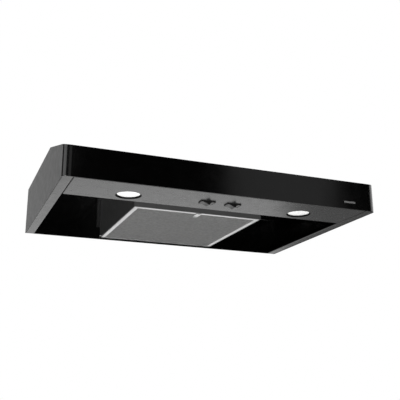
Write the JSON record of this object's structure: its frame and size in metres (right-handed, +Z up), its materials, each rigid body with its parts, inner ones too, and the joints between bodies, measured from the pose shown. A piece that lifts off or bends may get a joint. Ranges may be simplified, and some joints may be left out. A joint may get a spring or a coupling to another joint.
{
  "type": "under cabinet range hood",
  "caption": "Low-profile under cabinet range hood with sloped front, gloss fascia, underside lamps and rocker switches, hinged mesh grease filter, centrifugal blower and duct damper.",
  "frame": {"origin": "middle of the four cabinet screw holes, on the flat top face", "axes": "+X to the right seen from the front, +Y to the wall, +Z up; the front face looks along -Y"},
  "size_m": [0.759, 0.5206, 0.1712],
  "materials": {
    "gloss_black": "high gloss black enamel",
    "badge_grey": "satin grey, blank",
    "hood_paint": "satin black powder coat",
    "underside_paint": "satin charcoal enamel",
    "plenum_paint": "satin black enamel",
    "black_plastic": "fine moulded texture",
    "lens_white": "milky diffuser",
    "board_white": "solder mask white",
    "lamp_can_metal": "drawn, dull",
    "galvanised": "galvanised sheet with faint spangle",
    "zinc_steel": "zinc plated",
    "spring_steel": "stainless spring strip",
    "filter_aluminium": "rolled mill finish",
    "filter_mesh": "expanded foil mesh",
    "wheel_plastic": "moulded black",
    "motor_grey": "grey enamel",
    "grommet_rubber": "matt",
    "terminal_brass": "tinned brass",
    "lead_sheath": "satin sheath",
    "clip_nylon": "natural nylon"
  },
  "bodies": {
    "hood": {"badge": "badge_grey", "blower_deck": "galvanised", "collar_screws": "zinc_steel", "control_panel": "underside_paint", "control_screws": "zinc_steel", "discharge_guide": "galvanised", "duct_collar": "galvanised", "fan_switch_body": "black_plastic", "fascia_screws": "zinc_steel", "filter_catch": "spring_steel", "front_fascia": "gloss_black", "inlet_ring": "galvanised", "lamp_boards": "board_white", "lamp_driver": "black_plastic", "lead_clips": "clip_nylon", "left_bottom_rail": "underside_paint", "left_lamp_can": "lamp_can_metal", "left_lamp_lead": "lead_sheath", "left_lamp_lens": "lens_white", "left_lamp_trim": "black_plastic", "left_side_panel": "hood_paint", "light_switch_body": "black_plastic", "motor_bracket": "galvanised", "motor_capacitor": "galvanised", "motor_grommets": "grommet_rubber", "motor_housing": "motor_grey", "motor_lead": "lead_sheath", "motor_nuts": "zinc_steel", "motor_studs": "zinc_steel", "plenum_front": "plenum_paint", "plenum_left": "plenum_paint", "plenum_right": "plenum_paint", "plenum_screws": "zinc_steel", "rear_knockout": "hood_paint", "rear_panel": "hood_paint", "right_bottom_rail": "underside_paint", "right_lamp_can": "lamp_can_metal", "right_lamp_lead": "lead_sheath", "right_lamp_lens": "lens_white", "right_lamp_trim": "black_plastic", "right_side_panel": "hood_paint", "scroll_wall": "galvanised", "supply_lead": "lead_sheath", "switch_lead": "lead_sheath", "switch_terminals": "terminal_brass", "terminal_block": "wheel_plastic", "top_panel": "hood_paint", "wiring_box": "plenum_paint"},
    "filter": {"filter_frame": "filter_aluminium", "filter_mesh_lower": "filter_mesh", "filter_core": "filter_mesh", "filter_mesh_upper": "filter_mesh", "tab_rivet": "filter_aluminium"},
    "filter_tab": {"pull_tab": "filter_aluminium"},
    "fan_rocker": {"fan_rocker": "black_plastic"},
    "light_rocker": {"light_rocker": "black_plastic"},
    "wheel": {"blower_wheel": "wheel_plastic", "motor_shaft": "zinc_steel"},
    "damper": {"damper_flap": "galvanised", "damper_pin": "zinc_steel"}
  },
  "joints": [
    {"name": "fan_switch", "type": "hinge", "parent": "hood", "child": "fan_rocker", "pos_m": [-0.0323, -0.276, -0.1215], "axis": [0, -1, 0], "range_deg": [0, 14]},
    {"name": "light_switch", "type": "hinge", "parent": "hood", "child": "light_rocker", "pos_m": [0.0323, -0.276, -0.1215], "axis": [0, -1, 0], "range_deg": [0, 14]},
    {"name": "filter_swing", "type": "hinge", "parent": "hood", "child": "filter", "pos_m": [-0.0078, 0.1625, -0.1145], "axis": [1, 0, 0], "range_deg": [0, 75]},
    {"name": "pull_tab_turn", "type": "hinge", "parent": "filter", "child": "filter_tab", "pos_m": [-0.0078, -0.1625, -0.12], "axis": [0, 0, 1], "range_deg": [-65, 65]},
    {"name": "wheel_spin", "type": "hinge", "parent": "hood", "child": "wheel", "pos_m": [0, -0.051, -0.047], "axis": [0, 0, 1], "continuous": true},
    {"name": "damper_swing", "type": "hinge", "parent": "hood", "child": "damper", "pos_m": [0, 0.0782, 0.008], "axis": [1, 0, 0], "range_deg": [0, 80]}
  ]
}
